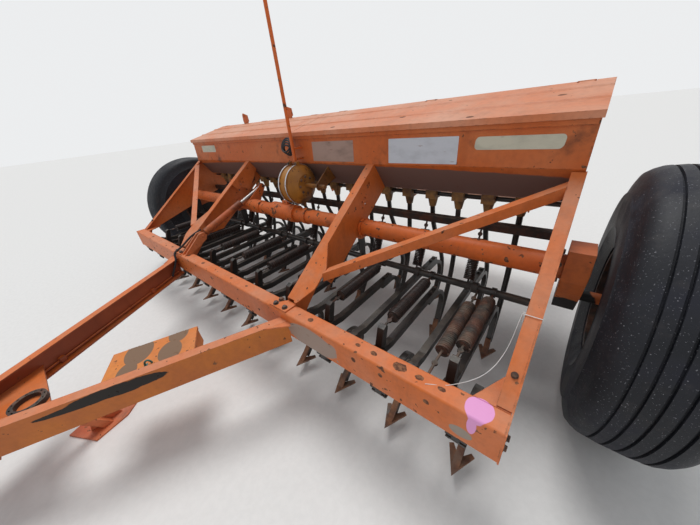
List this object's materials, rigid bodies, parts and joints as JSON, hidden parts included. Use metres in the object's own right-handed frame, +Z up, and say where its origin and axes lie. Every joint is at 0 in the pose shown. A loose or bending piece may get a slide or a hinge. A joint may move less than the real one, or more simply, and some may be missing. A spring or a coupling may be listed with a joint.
{
  "type": "seed drill",
  "caption": "Trailed tined seed drill with a full-width lidded hopper, A-frame drawbar, cranked wheel lift and spring-loaded sowing tines.",
  "frame": {"origin": "on the ground under the middle of the machine's length and width", "axes": "+Z up, -Y towards the hitch, +X towards the machine's own left-hand side as it travels"},
  "size_m": [4.91, 3.7482, 2.4],
  "materials": {
    "orange_paint": "faded, chipped, dusty",
    "red_brown_paint": "worn",
    "rim_paint": "worn",
    "dark_iron": "oily and rusty",
    "spring_steel": "rusty",
    "cup_brass": "tarnished",
    "ochre_paint": "dusty",
    "tube_rubber": "matt",
    "tyre": "dusty",
    "chrome_rod": "polished"
  },
  "bodies": {
    "frame": {"front_beam": "orange_paint", "drawbar_left": "orange_paint", "drawbar_right": "orange_paint", "hitch": "orange_paint", "drawbar_cross_plate": "orange_paint", "slotted_ring": "dark_iron", "side_frame_left": "orange_paint", "side_frame_right": "orange_paint", "support_left": "orange_paint", "support_right": "orange_paint", "brace_left": "orange_paint", "brace_right": "orange_paint", "beam_gussets": "orange_paint", "spring_bar": "dark_iron", "rear_toolbar": "dark_iron", "hopper_body": "orange_paint", "hopper_end_left": "orange_paint", "hopper_end_right": "orange_paint", "seed_cups": "cup_brass", "fertiliser_cups": "cup_brass", "meter_shafts": "dark_iron", "seed_tubes": "tube_rubber", "front_tines": "dark_iron", "front_sweeps": "dark_iron", "tine_brackets": "dark_iron", "sowing_arms": "dark_iron", "sowing_shanks": "dark_iron", "sowing_points": "dark_iron", "tine_springs": "spring_steel", "spring_hooks": "spring_steel", "drive_drum": "ochre_paint", "ridge_fittings": "orange_paint", "cable_bundle": "tube_rubber", "footboard": "red_brown_paint", "footboard_brackets": "orange_paint", "marker_pole": "dark_iron", "toolbox": "orange_paint", "oil_pipe": "dark_iron", "ram_bracket": "orange_paint"},
    "lift": {"rockshaft": "orange_paint", "lever_pin": "dark_iron", "crank_left": "orange_paint", "crank_right": "orange_paint"},
    "wheel_left": {"rim_left": "rim_paint", "tyre_left": "tyre"},
    "wheel_right": {"rim_right": "rim_paint", "tyre_right": "tyre"},
    "ram_cylinder": {"ram_barrel": "orange_paint"},
    "ram_piston": {"ram_rod": "chrome_rod"},
    "lid_left": {"lid_left": "orange_paint"},
    "lid_right": {"lid_right": "orange_paint"},
    "rear_lid_left": {"rear_lid_left": "orange_paint"},
    "rear_lid_right": {"rear_lid_right": "orange_paint"},
    "toolbox_lid": {"toolbox_lid": "orange_paint"},
    "stand": {"stand": "orange_paint"}
  },
  "joints": [
    {"name": "lift_turn", "type": "hinge", "parent": "frame", "child": "lift", "pos_m": [0, 0.496, 0.836], "axis": [1, 0, 0], "range_deg": [0, 36]},
    {"name": "wheel_left_roll", "type": "hinge", "parent": "lift", "child": "wheel_left", "pos_m": [-2.27, 0.646, 0.625], "axis": [1, 0, 0], "continuous": true},
    {"name": "wheel_right_roll", "type": "hinge", "parent": "lift", "child": "wheel_right", "pos_m": [2.27, 0.646, 0.625], "axis": [1, 0, 0], "continuous": true},
    {"name": "ram_tilt", "type": "hinge", "parent": "frame", "child": "ram_cylinder", "pos_m": [-0.62, -0.056, 0.712], "axis": [1, 0, 0], "range_deg": [-0.2, 9.45]},
    {"name": "ram_stroke", "type": "slide", "parent": "ram_cylinder", "child": "ram_piston", "axis": [0, 0.9354, 0.3537], "range_m": [-0.07414, 0]},
    {"name": "lid_left_open", "type": "hinge", "parent": "frame", "child": "lid_left", "pos_m": [0, 1.136, 1.562], "axis": [-1, 0, 0], "range_deg": [0, 90]},
    {"name": "lid_right_open", "type": "hinge", "parent": "frame", "child": "lid_right", "pos_m": [0, 1.136, 1.562], "axis": [-1, 0, 0], "range_deg": [0, 90]},
    {"name": "rear_lid_left_open", "type": "hinge", "parent": "frame", "child": "rear_lid_left", "pos_m": [0, 1.156, 1.562], "axis": [1, 0, 0], "range_deg": [0, 90]},
    {"name": "rear_lid_right_open", "type": "hinge", "parent": "frame", "child": "rear_lid_right", "pos_m": [0, 1.156, 1.562], "axis": [1, 0, 0], "range_deg": [0, 90]},
    {"name": "toolbox_lid_open", "type": "hinge", "parent": "frame", "child": "toolbox_lid", "pos_m": [0.28823, -0.58026, 0.47578], "axis": [-0.4598, -0.8874, -0.0343], "range_deg": [0, 100]},
    {"name": "stand_fold", "type": "hinge", "parent": "frame", "child": "stand", "pos_m": [0, -1.379, 0.34747], "axis": [1, 0, 0], "range_deg": [0, 60]}
  ],
  "couplings": [
    {"joint": "ram_stroke", "follows": "lift_turn", "m_per_rad": -0.11721},
    {"joint": "ram_tilt", "follows": "lift_turn", "ratio": 0.25692}
  ]
}
